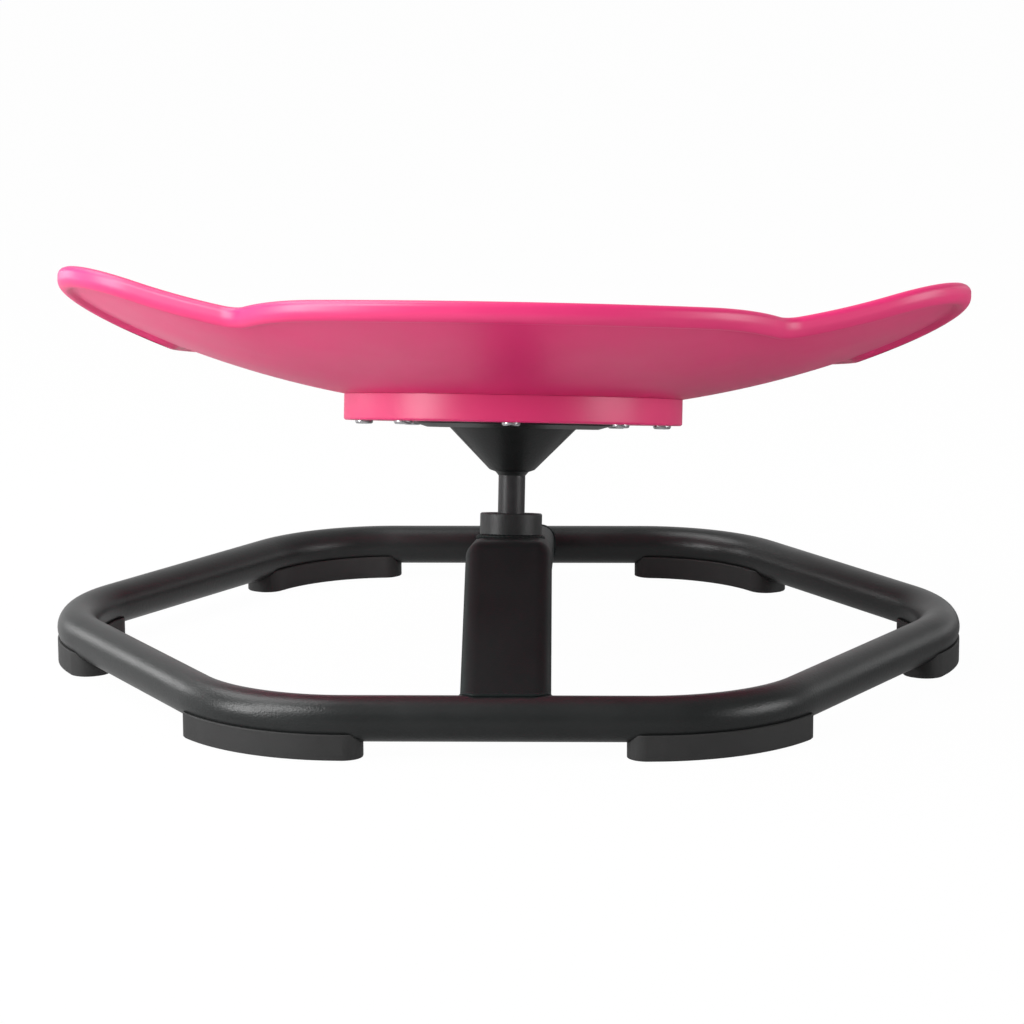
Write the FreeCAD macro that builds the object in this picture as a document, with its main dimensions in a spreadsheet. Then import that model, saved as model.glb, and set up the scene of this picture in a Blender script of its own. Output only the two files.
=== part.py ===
"""Sensory swivel chair: a dished seat that spins on a leaning spindle over a ring of bent tube.

Millimetres, +Z up, floor at z = 0, ring centre on the Z axis, front of the chair towards -Y.
"""
import os
from math import atan2, cos, degrees, radians, sin, sqrt, tan

import FreeCAD
import Part
import Sketcher
from FreeCAD import Placement, Rotation, Vector

SIZES = {
    # Ring of round steel tube, bent at six corners.
    "tube_diameter": 25.0,
    "tube_wall": 1.5,
    "ring_corner": 274.4,
    "bend_radius": 97.0,
    # Rubber foot under each bend, and its two screws.
    "foot_sole": 8.0,
    "foot_height": 14.2,
    "foot_width": 25.0,
    "foot_lead": 10.3,
    "foot_trail": 2.7,
    "foot_end_round": 11.0,
    "foot_gap": 0.1,
    "foot_screw_angle": 20.0,
    "foot_screw_diameter": 4.0,
    "foot_screw_length": 9.0,
    "foot_screw_head": 8.0,
    "foot_screw_head_height": 2.4,
    "foot_screw_recess": 4.0,
    "foot_screw_clearance": 0.2,
    # Cross beam: flat-sided tube that climbs from the front of the ring and runs down to the rear.
    "beam_width": 49.3,
    "beam_height": 25.0,
    "beam_corner": 9.0,
    "beam_wall": 2.0,
    "beam_bend": 18.0,
    "beam_front_angle": 23.4,
    "beam_offset": 2.7,
    "beam_yaw": 0.7,
    "cope_setback": 4.0,
    "weld_gap": 0.05,
    # Spindle axis: square to the rear leg of the beam, with a slight lean to one side.
    "tilt_angle": 9.55,
    "lean_angle": 1.22,
    "axis_setback": 17.0,
    "axis_offset": -0.55,
    # Bearing housing, welded through the beam.
    "housing_diameter": 37.0,
    "housing_bore": 28.0,
    "housing_drop": 2.0,
    "collar_height": 14.4,
    "bearing_recess": 2.0,
    # Ball bearings.
    "bearing_bore": 15.0,
    "bearing_outer": 32.0,
    "bearing_width": 9.0,
    "bearing_fit": 0.02,
    "race_inner": 20.4,
    "race_outer": 26.8,
    "ball_pitch": 23.5,
    "ball_diameter": 4.4,
    "ball_count": 9,
    "ball_clearance": 0.22,
    "cage_height": 5.6,
    "cage_wall": 1.8,
    # Spindle, spacer, washer and nut.
    "spindle_diameter": 16.0,
    "spindle_fit": 0.05,
    "spacer_diameter": 19.4,
    "thread_diameter": 14.0,
    "thread_length": 12.0,
    "washer_diameter": 24.0,
    "washer_thickness": 2.0,
    "nut_across_flats": 22.0,
    "nut_height": 8.0,
    "edge_break": 0.8,
    # Dust seal and bottom cap.
    "seal_thickness": 1.3,
    "seal_clearance": 0.3,
    "cap_depth": 14.5,
    "cap_wall": 2.0,
    "cap_spigot": 1.6,
    # Cone and flange plate under the seat.
    "cone_lift": 23.6,
    "cone_height": 26.9,
    "cone_foot_diameter": 23.4,
    "cone_top_diameter": 79.0,
    "cone_wall": 4.3,
    "cone_boss_height": 8.0,
    "cone_boss_diameter": 25.0,
    "cone_round": 4.0,
    "plate_thickness": 3.2,
    "plate_margin": 11.5,
    "plate_bevel": 8.0,
    "plate_edge": 0.9,
    # Flush screws and brass inserts that hold the flange to the seat disc.
    "flange_screw_count": 6,
    "flange_screw_margin": 6.0,
    "flange_screw_diameter": 5.0,
    "flange_screw_head": 9.4,
    "flange_screw_rim": 0.3,
    "insert_diameter": 8.0,
    "insert_height": 6.0,
    "insert_reach": 5.2,
    "screw_fit": 0.05,
    # Seat disc and the screws that hold it to the seat shell.
    "disc_diameter": 201.8,
    "disc_round": 1.5,
    "disc_screw_count": 8,
    "disc_screw_inset": 12.0,
    "disc_screw_diameter": 4.0,
    "disc_screw_head": 10.7,
    "disc_screw_head_height": 2.2,
    "disc_screw_head_round": 1.4,
    "disc_screw_bite": 2.74,
    "disc_screw_relief": 0.6,
    # Seat shell: part of a sphere, trimmed to a front lobe, two side grips and a round back.
    "dish_radius": 585.0,
    "dish_floor": 6.9,
    "dish_gap": 0.1,
    "shell_thickness": 4.6,
    "lip_rise": 2.6,
    "lip_drop": 4.0,
    "lip_width": 6.5,
    "lip_top_round": 2.6,
    "lip_inner_round": 1.8,
    "lip_bottom_round": 1.8,
    "front_radius": 237.5,
    "front_half_angle": 27.0,
    "shoulder_radius": 110.0,
    "near_notch_radius": 12.0,
    "near_notch_front": 179.8,
    "near_edge_length": 56.8,
    "near_edge_slope": 17.0,
    "grip_corner_radius": 70.0,
    "grip_radius": 81.5,
    "far_notch_radius": 10.0,
    "back_radius": 208.5,
}
SIDES = 6

doc = FreeCAD.newDocument("SensorySwivelChair")
sheet = doc.addObject("Spreadsheet::Sheet", "Sizes")
for row, (alias, amount) in enumerate(SIZES.items(), 1):
    sheet.set(f"A{row}", alias)
    sheet.set(f"B{row}", str(amount))
    sheet.setAlias(f"B{row}", alias)
doc.recompute()


def size(alias):
    """Value of a named cell."""
    return float(sheet.get(alias))


def number(text):
    """Value of an expression of named cells."""
    result = sheet.evalExpression(text)
    return float(getattr(result, "Value", result))


def shift(x, y, z):
    """Placement expression for a plain move."""
    return f"create(<<placement>>; create(<<vector>>; {x}; {y}; {z}); create(<<rotation>>; 0; 0; 0))"


# Places that several pieces share, as expressions of the named cells.
RING_HEIGHT = "(Sizes.foot_sole + Sizes.tube_diameter / 2)"
APOTHEM = "(Sizes.ring_corner * cos(30))"
BEAM_FRAME = (
    f"create(<<placement>>; create(<<vector>>; Sizes.beam_offset; 0; {RING_HEIGHT});"
    " create(<<rotation>>; Sizes.beam_yaw; 0; 0))"
)
AXIS_FRAME = (
    f"{BEAM_FRAME} * create(<<placement>>; create(<<vector>>; Sizes.axis_offset; -Sizes.axis_setback;"
    f" ({APOTHEM} + Sizes.axis_setback) * tan(Sizes.tilt_angle));"
    " create(<<rotation>>; 0; Sizes.lean_angle; -Sizes.tilt_angle))"
)
# Heights along the spindle axis, from the middle of the beam.
HOUSING_FOOT = "(-Sizes.beam_height / 2 - Sizes.housing_drop)"
HOUSING_LENGTH = "(Sizes.beam_height + Sizes.housing_drop + Sizes.collar_height)"
COLLAR_TOP = "(Sizes.beam_height / 2 + Sizes.collar_height)"
LOWER_BEARING = f"({HOUSING_FOOT} + Sizes.bearing_recess)"
UPPER_BEARING = f"({COLLAR_TOP} - Sizes.bearing_recess - Sizes.bearing_width)"
CONE_FOOT = f"({COLLAR_TOP} + Sizes.cone_lift)"
PLATE_FOOT = f"({CONE_FOOT} + Sizes.cone_height)"
SEAT_FOOT = f"({PLATE_FOOT} + Sizes.plate_thickness)"
BEARING_SEAT = "(Sizes.bearing_outer / 2 + Sizes.bearing_fit)"
SPINDLE_HOLE = "(Sizes.spindle_diameter / 2 + Sizes.spindle_fit)"


def on_axis(height):
    """Placement expression for a piece that stands on the spindle axis."""
    return f"{AXIS_FRAME} * {shift(0, 0, height)}"


def placed(text):
    """Placement that an expression stands for, for shapes built in code."""
    return sheet.evalExpression(text)


def primitive(kind, name, at=None, **expressions):
    """A primitive solid with its sizes bound to the sheet."""
    made = doc.addObject("Part::" + kind, name)
    for prop, text in expressions.items():
        made.setExpression(prop, text)
    if at:
        made.setExpression("Placement", at)
    return made


def cut(name, base, tools, at=None):
    """What is left of one object when others are taken away."""
    tool = tools[0]
    if len(tools) > 1:
        tool = doc.addObject("Part::Compound", name + "_tools")
        tool.Links = tools
    made = doc.addObject("Part::Cut", name)
    made.Base = base
    made.Tool = tool
    if at:
        made.setExpression("Placement", at)
    return made


def turned(name, corners, rounds=(), at=None):
    """A lathe-turned body: corners are the (radius, height) expressions of its half section."""
    body = doc.addObject("PartDesign::Body", name)
    sketch = body.newObject("Sketcher::SketchObject", name + "_section")
    plane = next(item for item in body.Origin.OriginFeatures if item.Role == "XZ_Plane")
    sketch.AttachmentSupport = [(plane, "")]
    sketch.MapMode = "FlatFace"
    points = [Vector(number(radius), number(height), 0) for radius, height in corners]
    count = len(corners)
    for index in range(count):
        sketch.addGeometry(Part.LineSegment(points[index], points[(index + 1) % count]))
    for index in range(count):
        sketch.addConstraint(Sketcher.Constraint("Coincident", index, 2, (index + 1) % count, 1))
    for index, (radius, height) in enumerate(corners):
        start = points[index]
        for kind, text, axis, amount in (
            ("DistanceX", radius, -2, start.x),
            ("DistanceY", height, -1, start.y),
        ):
            if text == "0":
                sketch.addConstraint(Sketcher.Constraint("PointOnObject", index, 1, axis))
            else:
                slot = sketch.addConstraint(Sketcher.Constraint(kind, -1, 1, index, 1, amount))
                sketch.setExpression(f"Constraints[{slot}]", text)
    turn = body.newObject("PartDesign::Revolution", name + "_turn")
    turn.Profile = sketch
    turn.ReferenceAxis = (sketch, ["V_Axis"])
    turn.Angle = 360
    for order, (corner, amount) in enumerate(rounds):
        doc.recompute()
        last = body.Tip
        rim = points[corner]
        edges = []
        for index, edge in enumerate(last.Shape.Edges, 1):
            curve = edge.Curve
            if hasattr(curve, "Radius") and abs(curve.Radius - rim.x) + abs(curve.Center.z - rim.y) < 0.001:
                edges.append(f"Edge{index}")
        blend = body.newObject("PartDesign::Fillet", f"{name}_round_{order}")
        blend.Base = (last, edges)
        blend.setExpression("Radius", amount)
    if at:
        body.setExpression("Placement", at)
    return body


def collar(inner, outer, height):
    """Half section of a plain ring."""
    return [(inner, "0"), (outer, "0"), (outer, height), (inner, height)]


def shaped(name, shape, placement=None):
    """A piece whose shape is built in code from the named cells."""
    made = doc.addObject("Part::Feature", name)
    made.Shape = shape
    if placement:
        made.Placement = placement
    return made


def circle_of(count, diameter, height=0.0):
    """Placements spaced evenly round the Z axis, the first one at the front."""
    spots = []
    for index in range(int(count)):
        spin = Rotation(Vector(0, 0, 1), 360 * index / count)
        spots.append(Placement(spin.multVec(Vector(0, -diameter / 2, height)), spin))
    return spots


def group(name, master, spots, placement=None):
    """Identical pieces set out as separate solids of one node."""
    doc.recompute()
    copies = []
    for spot in spots:
        copy = master.Shape.copy()
        copy.Placement = spot.multiply(copy.Placement)
        copies.append(copy)
    return shaped(name, Part.makeCompound(copies), placement)


def follow(face, legs):
    """Solid left by a section carried along straight legs and round bends."""
    solids = []
    for leg in legs:
        if isinstance(leg, Vector):
            solids.append(face.extrude(leg))
            face = face.translated(leg)
        else:
            solids.append(face.revolve(*leg))
            face = face.rotated(*leg)
    return solids[0].fuse(solids[1:]).removeSplitter()


# Base ring: six straight runs joined by six bends, with a hole in its underside for each foot screw.
UP = Vector(0, 0, 1)
ring_height = number(RING_HEIGHT)
apothem = number(APOTHEM)
tube_radius = size("tube_diameter") / 2
bend_trim = size("bend_radius") * tan(radians(30))
corner_point = Vector(size("ring_corner"), 0, ring_height)
bend_centre = Vector(size("ring_corner") - size("bend_radius") / cos(radians(30)), 0, ring_height)
run_in = Vector(sin(radians(30)), cos(radians(30)), 0)
run_out = Vector(-sin(radians(30)), cos(radians(30)), 0)
bend_start = corner_point - run_in * bend_trim
bend_end = corner_point + run_out * bend_trim


def ring_solid(radius):
    """Round bar of one radius bent into the six-sided ring."""
    rim = Part.Wire(Part.makeCircle(radius, bend_start, run_in))
    straight = size("ring_corner") - 2 * bend_trim
    legs = []
    for side in range(SIDES):
        spin = Rotation(UP, 360 * side / SIDES)
        legs.append((spin.multVec(bend_centre), UP, 360 / SIDES))
        legs.append(spin.multVec(run_out) * straight)
    return follow(Part.Face(rim), legs)


foot_spins = [Placement(Vector(), Rotation(UP, 360 * side / SIDES)) for side in range(SIDES)]
foot_screw_points = []
for angle in (-size("foot_screw_angle"), size("foot_screw_angle")):
    reach = Vector(cos(radians(angle)), sin(radians(angle)), 0) * size("bend_radius")
    foot_screw_points.append(Vector(bend_centre.x, bend_centre.y, 0) + reach)
foot_screw_spots = []
for spin in foot_spins:
    for point in foot_screw_points:
        foot_screw_spots.append(spin.multiply(Placement(point, Rotation())))

ring = ring_solid(tube_radius).cut(ring_solid(tube_radius - size("tube_wall")))
ring_holes = []
for spot in foot_screw_spots:
    hole = Part.makeCylinder(
        size("foot_screw_diameter") / 2 + size("screw_fit"),
        ring_height - size("foot_sole") / 2,
        Vector(0, 0, size("foot_sole") / 2),
    )
    hole.Placement = spot
    ring_holes.append(hole)
base_ring = shaped("base_ring", ring.cut(ring_holes))

# Feet: rubber saddles that follow each bend, with the screw heads sunk in the sole.
half_width = size("foot_width") / 2
foot_top = size("foot_height")
foot_start = bend_start - run_in * size("foot_lead")
across = run_in.cross(UP)
sole_corners = []
for side, height in ((-1, 0), (1, 0), (1, foot_top), (-1, foot_top), (-1, 0)):
    sole_corners.append(Vector(foot_start.x, foot_start.y, height) + across * (side * half_width))
overrun_in = run_in * size("foot_lead")
overrun_out = run_out * size("foot_trail")
foot_path = [overrun_in, (bend_centre, UP, 360 / SIDES), overrun_out]
foot = follow(Part.Face(Part.makePolygon(sole_corners)), foot_path)
end_edges = []
for edge in foot.Edges:
    middle = edge.CenterOfMass
    at_start = abs((middle - foot_start).dot(run_in)) < 0.001
    at_end = abs((middle - bend_end - overrun_out).dot(run_out)) < 0.001
    upright = edge.BoundBox.ZLength > foot_top / 2
    if upright and (at_start or at_end):
        end_edges.append(edge)
foot = foot.makeFillet(size("foot_end_round"), end_edges)
groove_rim = Part.Wire(Part.makeCircle(tube_radius + size("foot_gap"), foot_start, run_in))
foot = foot.cut(follow(Part.Face(groove_rim), foot_path))
for point in foot_screw_points:
    shank = size("foot_screw_diameter") / 2 + size("foot_screw_clearance")
    head = size("foot_screw_head") / 2 + size("foot_screw_clearance")
    foot = foot.cut(Part.makeCylinder(shank, foot_top, point))
    foot = foot.cut(Part.makeCylinder(head, size("foot_screw_recess"), point))
mirrored_foot = foot.mirror(Vector(), Vector(0, 1, 0))
feet = []
for side, spin in enumerate(foot_spins, 1):
    on_right = spin.multVec(corner_point).x > 0
    feet.append(shaped(f"foot_{side}", foot if on_right else mirrored_foot, spin))

foot_screw = turned(
    "foot_screw",
    [
        ("0", "0"),
        ("Sizes.foot_screw_head / 2", "0"),
        ("Sizes.foot_screw_head / 2", "Sizes.foot_screw_head_height"),
        ("Sizes.foot_screw_diameter / 2", "Sizes.foot_screw_head_height"),
        ("Sizes.foot_screw_diameter / 2", "Sizes.foot_screw_head_height + Sizes.foot_screw_length"),
        ("0", "Sizes.foot_screw_head_height + Sizes.foot_screw_length"),
    ],
    rounds=[(1, "Sizes.edge_break")],
)
head_sink = Placement(
    Vector(0, 0, size("foot_screw_recess") - size("foot_screw_head_height")), Rotation()
)
foot_screws = group("foot_screws", foot_screw, [spot.multiply(head_sink) for spot in foot_screw_spots])

# Cross beam: two legs and a bend, coped over the ring at both ends and bored for the housing.
beam_place = placed(BEAM_FRAME)
axis_place = placed(AXIS_FRAME)
front_rise = radians(size("beam_front_angle"))
rear_fall = radians(size("tilt_angle"))
climb = Vector(0, cos(front_rise), sin(front_rise))
descend = Vector(0, cos(rear_fall), -sin(rear_fall))
front_end = Vector(0, -apothem, 0)
climb_length = 2 * apothem * sin(rear_fall) / sin(front_rise + rear_fall)
descend_length = 2 * apothem * sin(front_rise) / sin(front_rise + rear_fall)
peak = front_end + climb * climb_length
peak_trim = size("beam_bend") * tan((front_rise + rear_fall) / 2)
setback = size("cope_setback")


def beam_section(inset):
    """Rounded rectangle square to the front leg at its lower end."""
    start = front_end + climb * setback
    side = Vector(1, 0, 0)
    top = side.cross(climb)
    half_x = size("beam_width") / 2 - inset
    half_y = size("beam_height") / 2 - inset
    radius = size("beam_corner") - inset
    edges = []
    for turn in range(4):
        from_angle = radians(90 * turn)
        sign_x = 1 if turn in (0, 3) else -1
        sign_y = 1 if turn in (0, 1) else -1
        centre = start + side * (sign_x * (half_x - radius)) + top * (sign_y * (half_y - radius))
        arc = []
        for step in (0, 45, 90):
            angle = from_angle + radians(step)
            arc.append(centre + side * (radius * cos(angle)) + top * (radius * sin(angle)))
        edges.append(Part.Arc(*arc).toShape())
    joined = []
    for index, edge in enumerate(edges):
        following = edges[(index + 1) % 4]
        joined.append(edge)
        joined.append(Part.makeLine(edge.lastVertex().Point, following.firstVertex().Point))
    return Part.Face(Part.Wire(joined))


def beam_solid(inset):
    """Beam of one section size, from just short of the front tube to just short of the rear tube."""
    bend_axis = Vector(-1, 0, 0)
    bend_point = peak - climb * peak_trim + climb.cross(bend_axis) * -size("beam_bend")
    legs = [
        climb * (climb_length - peak_trim - setback),
        (bend_point, bend_axis, degrees(front_rise + rear_fall)),
        descend * (descend_length - peak_trim - setback),
    ]
    return follow(beam_section(inset), legs)


ring_cutters = []
for y in (-apothem, apothem):
    bar = Part.makeCylinder(
        tube_radius + size("weld_gap"),
        2 * size("beam_width"),
        Vector(-size("beam_width"), y, ring_height),
        Vector(1, 0, 0),
    )
    bar.Placement = beam_place.inverse().multiply(bar.Placement)
    ring_cutters.append(bar)
housing_hole = Part.makeCylinder(
    size("housing_diameter") / 2 + size("weld_gap"),
    2 * size("beam_height"),
    Vector(0, 0, -size("beam_height")),
)
housing_hole.Placement = beam_place.inverse().multiply(axis_place).multiply(housing_hole.Placement)
beam = beam_solid(0).cut(beam_solid(size("beam_wall")))
beam = beam.cut(ring_cutters + [housing_hole])
cross_beam = shaped("cross_beam", beam, beam_place)

# Bearing housing: a turned sleeve with a bearing seat at each end.
lower_seat = "(Sizes.bearing_recess + Sizes.bearing_width)"
upper_seat = f"({HOUSING_LENGTH} - Sizes.bearing_recess - Sizes.bearing_width)"
bearing_housing = turned(
    "bearing_housing",
    [
        (BEARING_SEAT, "0"),
        ("Sizes.housing_diameter / 2", "0"),
        ("Sizes.housing_diameter / 2", HOUSING_LENGTH),
        (BEARING_SEAT, HOUSING_LENGTH),
        (BEARING_SEAT, upper_seat),
        ("Sizes.housing_bore / 2", upper_seat),
        ("Sizes.housing_bore / 2", lower_seat),
        (BEARING_SEAT, lower_seat),
    ],
    rounds=[(2, "Sizes.edge_break")],
    at=on_axis(HOUSING_FOOT),
)

# Ball bearings: outer ring in the housing, inner ring on the spindle, balls and cage between them.
bearing_nodes = []
for end, foot_height in (("lower", LOWER_BEARING), ("upper", UPPER_BEARING)):
    race_middle = shift(0, 0, "Sizes.bearing_width / 2")
    race_sizes = {
        "Radius1": "Sizes.ball_pitch / 2",
        "Radius2": "Sizes.ball_diameter / 2 + Sizes.ball_clearance",
    }
    outer_blank = turned(
        f"{end}_outer_blank",
        collar("Sizes.race_outer / 2", "Sizes.bearing_outer / 2", "Sizes.bearing_width"),
    )
    outer_race = primitive("Torus", f"{end}_outer_race", race_middle, **race_sizes)
    outer_ring = cut(f"{end}_outer_ring", outer_blank, [outer_race], on_axis(foot_height))
    inner_blank = turned(
        f"{end}_inner_blank",
        collar("Sizes.bearing_bore / 2", "Sizes.race_inner / 2", "Sizes.bearing_width"),
    )
    inner_race = primitive("Torus", f"{end}_inner_race", race_middle, **race_sizes)
    inner_ring = cut(f"{end}_inner_ring", inner_blank, [inner_race], on_axis(foot_height))

    ball = primitive("Sphere", f"{end}_ball", Radius="Sizes.ball_diameter / 2")
    pocket = primitive("Sphere", f"{end}_pocket", Radius="Sizes.ball_diameter / 2 + Sizes.ball_clearance / 2")
    ball_spots = circle_of(size("ball_count"), size("ball_pitch"), size("bearing_width") / 2)
    balls = group(f"{end}_balls", ball, ball_spots, placed(on_axis(foot_height)))
    pockets = group(f"{end}_pockets", pocket, ball_spots)
    cage_blank = turned(
        f"{end}_cage_blank",
        collar(
            "(Sizes.ball_pitch - Sizes.cage_wall) / 2",
            "(Sizes.ball_pitch + Sizes.cage_wall) / 2",
            "Sizes.cage_height",
        ),
        at=shift(0, 0, "(Sizes.bearing_width - Sizes.cage_height) / 2"),
    )
    cage = cut(f"{end}_cage", cage_blank, [pockets], on_axis(foot_height))
    bearing_nodes += [outer_ring, inner_ring, balls, cage]

# Spacer between the two inner rings.
bearing_spacer = turned(
    "bearing_spacer",
    collar("Sizes.bearing_bore / 2", "Sizes.spacer_diameter / 2", f"{upper_seat} - {lower_seat}"),
    at=on_axis(f"({LOWER_BEARING} + Sizes.bearing_width)"),
)

# Spindle: threaded end, journal through both bearings, and the plain shank up to the seat.
journal_radius = "Sizes.bearing_bore / 2 - Sizes.bearing_fit"
journal_top = f"(Sizes.thread_length + {HOUSING_LENGTH} - 2 * Sizes.bearing_recess)"
spindle_top = f"(Sizes.thread_length - {LOWER_BEARING} + {SEAT_FOOT})"
spindle = turned(
    "spindle",
    [
        ("0", "0"),
        ("Sizes.thread_diameter / 2", "0"),
        ("Sizes.thread_diameter / 2", "Sizes.thread_length"),
        (journal_radius, "Sizes.thread_length"),
        (journal_radius, journal_top),
        ("Sizes.spindle_diameter / 2", journal_top),
        ("Sizes.spindle_diameter / 2", spindle_top),
        ("0", spindle_top),
    ],
    rounds=[(1, "Sizes.edge_break")],
    at=on_axis(f"({LOWER_BEARING} - Sizes.thread_length)"),
)

# Washer and lock nut under the lower bearing.
thread_hole = "Sizes.thread_diameter / 2 + Sizes.screw_fit"
washer = turned(
    "washer",
    collar(thread_hole, "Sizes.washer_diameter / 2", "Sizes.washer_thickness"),
    at=on_axis(f"({LOWER_BEARING} - Sizes.washer_thickness)"),
)
nut_blank = primitive(
    "Prism",
    "nut_blank",
    Circumradius="Sizes.nut_across_flats / 2 / cos(30)",
    Height="Sizes.nut_height",
)
nut_hole = primitive("Cylinder", "nut_hole", Radius=thread_hole, Height="Sizes.nut_height")
lock_nut = cut(
    "lock_nut",
    nut_blank,
    [nut_hole],
    on_axis(f"({LOWER_BEARING} - Sizes.washer_thickness - Sizes.nut_height)"),
)

# Dust seal in the mouth of the housing, and the cap that closes its lower end.
seal_radius = "Sizes.bearing_outer / 2"
dust_seal = turned(
    "dust_seal",
    collar("Sizes.spindle_diameter / 2 + Sizes.seal_clearance", seal_radius, "Sizes.seal_thickness"),
    at=on_axis(f"({COLLAR_TOP} - (Sizes.bearing_recess + Sizes.seal_thickness) / 2)"),
)
spigot_top = "Sizes.cap_depth + Sizes.cap_spigot"
bottom_cap = turned(
    "bottom_cap",
    [
        ("0", "0"),
        ("Sizes.housing_diameter / 2", "0"),
        ("Sizes.housing_diameter / 2", "Sizes.cap_depth"),
        ("Sizes.bearing_outer / 2", "Sizes.cap_depth"),
        ("Sizes.bearing_outer / 2", spigot_top),
        ("Sizes.bearing_outer / 2 - Sizes.cap_wall", spigot_top),
        ("Sizes.bearing_outer / 2 - Sizes.cap_wall", "Sizes.cap_wall"),
        ("0", "Sizes.cap_wall"),
    ],
    rounds=[(1, "Sizes.cap_wall")],
    at=on_axis(f"({HOUSING_FOOT} - Sizes.cap_depth)"),
)

# Hub cone and flange plate: they spread the load from the spindle to the underside of the seat.
hub_cone = turned(
    "hub_cone",
    [
        (SPINDLE_HOLE, "0"),
        ("Sizes.cone_foot_diameter / 2", "0"),
        ("Sizes.cone_top_diameter / 2", "Sizes.cone_height"),
        ("Sizes.cone_top_diameter / 2 - Sizes.cone_wall", "Sizes.cone_height"),
        ("Sizes.cone_boss_diameter / 2", "Sizes.cone_boss_height"),
        (SPINDLE_HOLE, "Sizes.cone_boss_height"),
    ],
    rounds=[(1, "Sizes.cone_round")],
    at=on_axis(CONE_FOOT),
)
plate_flat_radius = "(Sizes.cone_top_diameter / 2 + Sizes.plate_margin)"
plate_radius = f"({plate_flat_radius} + Sizes.plate_bevel)"
plate_blank = turned(
    "plate_blank",
    [
        (SPINDLE_HOLE, "0"),
        (plate_flat_radius, "0"),
        (plate_radius, "Sizes.plate_thickness - Sizes.plate_edge"),
        (plate_radius, "Sizes.plate_thickness"),
        (SPINDLE_HOLE, "Sizes.plate_thickness"),
    ],
)

# Flush screws up through the plate into brass inserts in the seat disc.
flange_screw_length = "(Sizes.plate_thickness + Sizes.insert_reach)"
flange_head_height = "(Sizes.flange_screw_rim + (Sizes.flange_screw_head - Sizes.flange_screw_diameter) / 2)"


def flush_screw(name, gap):
    """Countersunk screw shape; with a gap, the hole that it needs."""
    head_radius = f"Sizes.flange_screw_head / 2 + {gap}"
    shank_radius = f"Sizes.flange_screw_diameter / 2 + {gap}"
    return turned(
        name,
        [
            ("0", "0"),
            (head_radius, "0"),
            (head_radius, "Sizes.flange_screw_rim"),
            (shank_radius, flange_head_height),
            (shank_radius, flange_screw_length),
            ("0", flange_screw_length),
        ],
    )


flange_circle = size("cone_top_diameter") + 2 * size("flange_screw_margin")
flange_spots = circle_of(size("flange_screw_count"), flange_circle)
flange_screw = flush_screw("flange_screw", "0")
plate_hole = flush_screw("plate_hole", "Sizes.screw_fit")
plate_holes = group("plate_holes", plate_hole, flange_spots)
flange_plate = cut("flange_plate", plate_blank, [plate_holes], on_axis(PLATE_FOOT))
flange_screws = group("flange_screws", flange_screw, flange_spots, placed(on_axis(PLATE_FOOT)))
flange_insert = turned(
    "flange_insert",
    collar(
        "Sizes.flange_screw_diameter / 2 + Sizes.screw_fit",
        "Sizes.insert_diameter / 2",
        "Sizes.insert_height",
    ),
)
flange_inserts = group("flange_inserts", flange_insert, flange_spots, placed(on_axis(SEAT_FOOT)))

# Seat disc: flat below, dished above to take the shell, with holes for inserts and screws.
disc_spots = circle_of(size("disc_screw_count"), size("disc_diameter") - 2 * size("disc_screw_inset"))
screw_sag = (
    "(Sizes.dish_radius - sqrt(Sizes.dish_radius ^ 2"
    " - (Sizes.disc_diameter / 2 - Sizes.disc_screw_inset) ^ 2))"
)
disc_screw_reach = f"(Sizes.dish_floor + {screw_sag} + Sizes.disc_screw_bite)"
dish_sag = "(Sizes.dish_radius - sqrt(Sizes.dish_radius ^ 2 - (Sizes.disc_diameter / 2) ^ 2))"
disc_blank = turned(
    "disc_blank",
    [
        ("0", "0"),
        ("Sizes.disc_diameter / 2", "0"),
        ("Sizes.disc_diameter / 2", f"Sizes.dish_floor + {dish_sag}"),
        ("0", f"Sizes.dish_floor + {dish_sag}"),
    ],
    rounds=[(1, "Sizes.disc_round")],
)
dish_ball = primitive(
    "Sphere",
    "dish_ball",
    "create(<<placement>>; create(<<vector>>; 0; 0; Sizes.dish_floor + Sizes.dish_radius);"
    " create(<<rotation>>; 0; -90; 0))",
    Radius="Sizes.dish_radius + Sizes.dish_gap",
)
insert_hole = primitive(
    "Cylinder",
    "insert_hole",
    Radius="Sizes.insert_diameter / 2 + Sizes.screw_fit",
    Height="Sizes.insert_height",
)
disc_hole = primitive(
    "Cylinder",
    "disc_hole",
    Radius="Sizes.disc_screw_diameter / 2 + Sizes.screw_fit",
    Height=f"{disc_screw_reach} + Sizes.disc_screw_relief",
)
insert_holes = group("insert_holes", insert_hole, flange_spots)
disc_holes = group("disc_holes", disc_hole, disc_spots)
seat_disc = cut("seat_disc", disc_blank, [dish_ball, insert_holes, disc_holes], on_axis(SEAT_FOOT))

# Pan-head screws up through the disc into the shell.
disc_screw = turned(
    "disc_screw",
    [
        ("0", "0"),
        ("Sizes.disc_screw_head / 2", "0"),
        ("Sizes.disc_screw_head / 2", "Sizes.disc_screw_head_height"),
        ("Sizes.disc_screw_diameter / 2", "Sizes.disc_screw_head_height"),
        ("Sizes.disc_screw_diameter / 2", f"Sizes.disc_screw_head_height + {disc_screw_reach}"),
        ("0", f"Sizes.disc_screw_head_height + {disc_screw_reach}"),
    ],
    rounds=[(1, "Sizes.disc_screw_head_round")],
)
disc_screws = group(
    "disc_screws",
    disc_screw,
    disc_spots,
    placed(on_axis(f"({SEAT_FOOT} - Sizes.disc_screw_head_height)")),
)

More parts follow.
